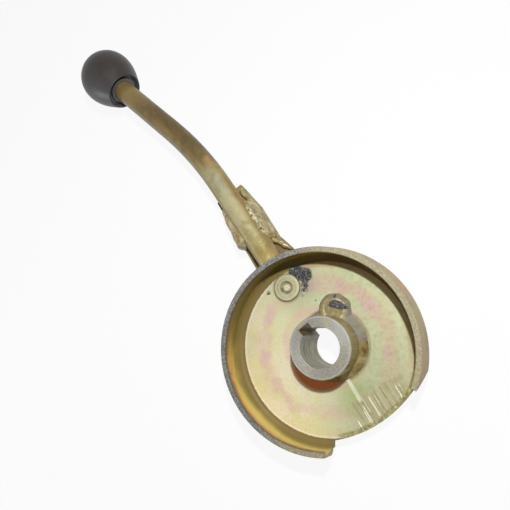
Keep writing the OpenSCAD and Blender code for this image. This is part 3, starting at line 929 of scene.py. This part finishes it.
def weld_bar(name, start, end, thick, material):
    """Round bar of weld on the tongue, wavy and closed at both ends."""
    steps = 40
    round_steps = 14
    way = (end - start).normalized()
    side = way.cross(upright(1)).normalized()
    up = side.cross(way)
    sections = []
    for i in range(steps + 1):
        share = i / steps
        taper = max(0.05, 1 - abs(2 * share - 1) ** 8) ** 0.5
        radius = thick * taper * (1 + 0.3 * noise.noise(Vector((share * 4, 2.0, 5.0))))
        middle = CUP_AXIS + start.lerp(end, share)
        middle += side * 0.5 * noise.noise(Vector((share * 3, 7.0, 1.0)))
        section = []
        for j in range(round_steps):
            angle = 2 * math.pi * j / round_steps
            section.append(middle + radius * (side * math.cos(angle) + up * math.sin(angle)))
        sections.append(section)
    add_piece(name, loft(sections), material)


def hub_weld_ring(point):
    """Height of the rippled ring of weld above the floor, at a place about the shaft."""
    ripples = 40
    ripple_height = 0.07
    height = (FOOT_R - (point - FOOT_SHIFT).length) * FOOT_SLOPE
    turn = math.atan2(point.y, point.x)
    height += ripple_height * math.sin(turn * ripples + 3 * noise.noise(point * 0.12))
    return height + 0.45 * noise.noise(point * 0.22)


def hub_weld_lump(point):
    """Height of the stop lump above the floor, flat on top with a low ridge along its edge."""
    ridge_height = 0.3
    ridge_inset = 0.9
    ridge_width = 0.6
    away = (point - LUMP_AT).length + 0.5 * noise.noise(point * 0.3)
    share = (LUMP_R - away) / (LUMP_R - LUMP_TOP_R)
    height = LUMP_H * math.sin(math.pi / 2 * max(-1, min(1, share))) + 0.2 * noise.noise(point * 0.5)
    return height + ridge_height * math.exp(-((away - LUMP_TOP_R + ridge_inset) / ridge_width) ** 2)


def hub_weld_height(point):
    """Height of the hub's weld above the floor: ring and lump, run softly into each other."""
    blend = 1.0
    ring = hub_weld_ring(point)
    lump = hub_weld_lump(point)
    gap = max(blend - abs(ring - lump), 0) / blend
    return max(ring, lump) + gap * gap * blend / 4


def hub_weld(material):
    """Weld round the hub with its stop lump, as heights over rings and spokes."""
    spokes = 260
    rows = 48
    scan = 200
    inner = HUB_R - 0.15
    outer = 26.0
    under = 0.4
    mesh = bmesh.new()
    columns = []
    for k in range(spokes):
        way = around(360 * k / spokes, 1)
        tries = [inner + (outer - inner) * i / scan for i in range(scan + 1)]
        foot = max(radius for radius in tries if hub_weld_height(way * radius) > -under)
        column = [mesh.verts.new(way * inner + upright(FLOOR - under))]
        for i in range(rows + 1):
            point = way * (inner + (foot - inner) * i / rows)
            height = max(hub_weld_height(point), -under) if i < rows else -under
            column.append(mesh.verts.new(point + upright(FLOOR + height)))
        columns.append(column)
    for one, two in zip(columns, columns[1:] + columns[:1]):
        for i in range(len(one)):
            j = (i + 1) % len(one)
            mesh.faces.new((one[i], one[j], two[j], two[i]))
    add_piece("hub_weld_bead", mesh, material, "hub_weld")


def slag_outline(edge, centre):
    """Ragged outline of the slag, a little outside its edge."""
    between = 6
    outline = []
    for one, two in zip(edge, edge[1:] + edge[:1]):
        for k in range(between):
            point = one.lerp(two, k / between)
            outline.append(point + (point - centre) * (0.26 + 0.16 * noise.noise(point * 1.3)))
    return outline


def slag_island(material):
    """Crust of slag left on the stop lump."""
    rows = 8
    thick = 0.45
    edge_drop = 0.8
    edge = [Vector((x, y, 0)) for x, y in SLAG_EDGE]
    centre = sum(edge, Vector()) / len(edge)
    outline = slag_outline(edge, centre)
    count = len(outline)
    mesh = bmesh.new()
    rings = []
    for i in range(1, rows + 1):
        share = i / rows
        row = []
        for point in outline:
            place = centre.lerp(point, share)
            rough = 0.18 * noise.noise(place * 1.1)
            height = hub_weld_height(place) + thick - edge_drop * share ** 5 + rough
            row.append(mesh.verts.new(place + upright(FLOOR + height)))
        rings.append(row)
    top = mesh.verts.new(centre + upright(FLOOR + hub_weld_height(centre) + thick))
    for k in range(count):
        mesh.faces.new((top, rings[0][k], rings[0][(k + 1) % count]))
    for one, two in zip(rings, rings[1:]):
        for k in range(count):
            mesh.faces.new((one[k], two[k], two[(k + 1) % count], one[(k + 1) % count]))
    mesh.faces.new(rings[-1])
    add_piece("slag_island", mesh, material)


def drops(places):
    """One mesh of small flattened drops, each a place and a radius."""
    flatten = 0.8
    mesh = bmesh.new()
    for place, radius in places:
        made = bmesh.ops.create_icosphere(mesh, subdivisions=2, radius=radius)
        for vert in made["verts"]:
            vert.co.z *= flatten
            vert.co *= 1 + 0.2 * noise.noise(vert.co * 2 / radius + place)
            vert.co += place
    return mesh


def spatter(material):
    """Balls of weld spatter on the floor, on the wall's bend and on the lump, and grains in the soot."""
    grains = 40
    rng = random.Random(7)
    on_lump = Vector((18.1, -14.8, 0))
    places = [
        (CUP_AXIS + Vector((43.4, 8.3, FLOOR + 1.2)), 0.55),
        (CUP_AXIS + Vector((42.2, 0.4, FLOOR + 0.7)), 0.35),
        (on_lump + upright(FLOOR + hub_weld_height(on_lump) + 0.2), 0.75),
        (on_lump + Vector((0.9, -0.5, FLOOR + hub_weld_height(on_lump * 1.05))), 0.5),
        (Vector((22.2, -5.3, FLOOR)), 0.35),
    ]
    for centre, radius, _strength in SOOT[:3]:
        for _ in range(grains):
            place = centre + around(rng.uniform(0, 360), radius * 0.8 * math.sqrt(rng.random()))
            if (place - RIVET_AT).length > RIVET_R + 0.3 and place.xy.length < FLAT_R:
                places.append((CUP_AXIS + place, rng.uniform(0.1, 0.34)))
    add_piece("spatter", drops(places), material)


def dress():
    """Gives every node and piece its material, and adds the welds, slag and spatter."""
    sheet = sheet_material()
    steel = hub_material()
    weld = weld_material()
    bead = bead_material()
    slag = slag_material()
    finishes = {"cup": sheet, "tongue": sheet, "rod": bar_material(), "hub": steel, "rivet": steel,
                "hub_weld": weld, "rod_weld_left": bead, "rod_weld_right": bead, "knob": knob_material()}
    for name, material in finishes.items():
        nodes[name].data.materials.clear()
        nodes[name].data.materials.append(material)
    hub_weld(weld)
    rod_weld("rod_weld_left", 1, LEFT_WELD, LEFT_BULGE, bead)
    rod_weld("rod_weld_right", -1, RIGHT_WELD, RIGHT_BULGE, bead)
    weld_bar("weld_strap", STRAP_FROM, STRAP_TO, STRAP_R, bead)
    weld_bar("weld_ridge", RIDGE_FROM, RIDGE_TO, RIDGE_R, bead)
    slag_island(slag)
    spatter(slag)


# ---- Camera, floor and light ----

def make_camera():
    """Camera at the photo's viewing angle."""
    data = bpy.data.cameras.new("camera")
    data.sensor_width = SENSOR
    data.sensor_fit = "HORIZONTAL"
    data.lens = FOCAL_PX / FRAME_PX * SENSOR
    data.clip_start = CLIP_START
    camera = bpy.data.objects.new("camera", data)
    camera.location = EYE
    camera.rotation_euler = EYE_TURN
    bpy.context.collection.objects.link(camera)
    bpy.context.scene.camera = camera


def white_mix(tree, lit, level):
    """Mix of the lit surface and white, which camera, glossy and transmission rays see."""
    path = tree.nodes.new("ShaderNodeLightPath")
    seen = path.outputs["Is Camera Ray"]
    for name in ("Is Glossy Ray", "Is Transmission Ray"):
        either = tree.nodes.new("ShaderNodeMath")
        either.operation = "MAXIMUM"
        tree.links.new(seen, either.inputs[0])
        tree.links.new(path.outputs[name], either.inputs[1])
        seen = either.outputs["Value"]
    share = tree.nodes.new("ShaderNodeMath")
    share.operation = "MULTIPLY"
    share.inputs[1].default_value = level
    tree.links.new(seen, share.inputs[0])
    mix = tree.nodes.new("ShaderNodeMixShader")
    tree.links.new(share.outputs["Value"], mix.inputs["Fac"])
    tree.links.new(lit, mix.inputs[1])
    return mix


def make_floor():
    """Pale floor under the lever, near white to the eye, with the lever's shadow faint on it."""
    level = (KNOB_BOTTOM - STUDIO_GAP) * MM
    bpy.ops.mesh.primitive_plane_add(size=STUDIO_SIZE, location=(0, 0, level))
    floor = bpy.context.object
    floor.name = "floor"
    material = bpy.data.materials.new("floor_white")
    material.use_nodes = True
    tree = material.node_tree
    shader = tree.nodes["Principled BSDF"]
    shader.inputs["Base Color"].default_value = STUDIO_COLOUR
    shader.inputs["Roughness"].default_value = STUDIO_ROUGH
    mix = white_mix(tree, shader.outputs["BSDF"], STUDIO_WHITE)
    white = tree.nodes.new("ShaderNodeEmission")
    white.inputs["Strength"].default_value = 1.0
    tree.links.new(white.outputs["Emission"], mix.inputs[2])
    tree.links.new(mix.outputs["Shader"], tree.nodes["Material Output"].inputs["Surface"])
    floor.data.materials.append(material)


def make_world():
    """White surround: weak for the light it gives, full white where it is seen or mirrored."""
    world = bpy.data.worlds.new("studio")
    bpy.context.scene.world = world
    world.use_nodes = True
    tree = world.node_tree
    weak = tree.nodes["Background"]
    weak.inputs["Color"].default_value = WHITE
    weak.inputs["Strength"].default_value = SURROUND
    mix = white_mix(tree, weak.outputs["Background"], 1.0)
    white = tree.nodes.new("ShaderNodeBackground")
    white.inputs["Color"].default_value = WHITE
    tree.links.new(white.outputs["Background"], mix.inputs[2])
    tree.links.new(mix.outputs["Shader"], tree.nodes["World Output"].inputs["Surface"])


def make_lamp(name, place, target, size, power):
    """One round lamp, aimed at a point and hidden from the camera."""
    data = bpy.data.lights.new(name, "AREA")
    data.shape = "DISK"
    data.size = size
    data.energy = power
    lamp = bpy.data.objects.new(name, data)
    lamp.location = place
    lamp.rotation_euler = (place - target).to_track_quat("Z", "Y").to_euler()
    lamp.visible_camera = False
    bpy.context.collection.objects.link(lamp)


bpy.context.scene.view_settings.view_transform = "Standard"
make_camera()
make_floor()
make_world()
make_lamp("key", KEY_AT, KEY_AIM, KEY_SIZE, KEY_POWER)
make_lamp("fill", FILL_AT, FILL_AIM, FILL_SIZE, FILL_POWER)
dress()
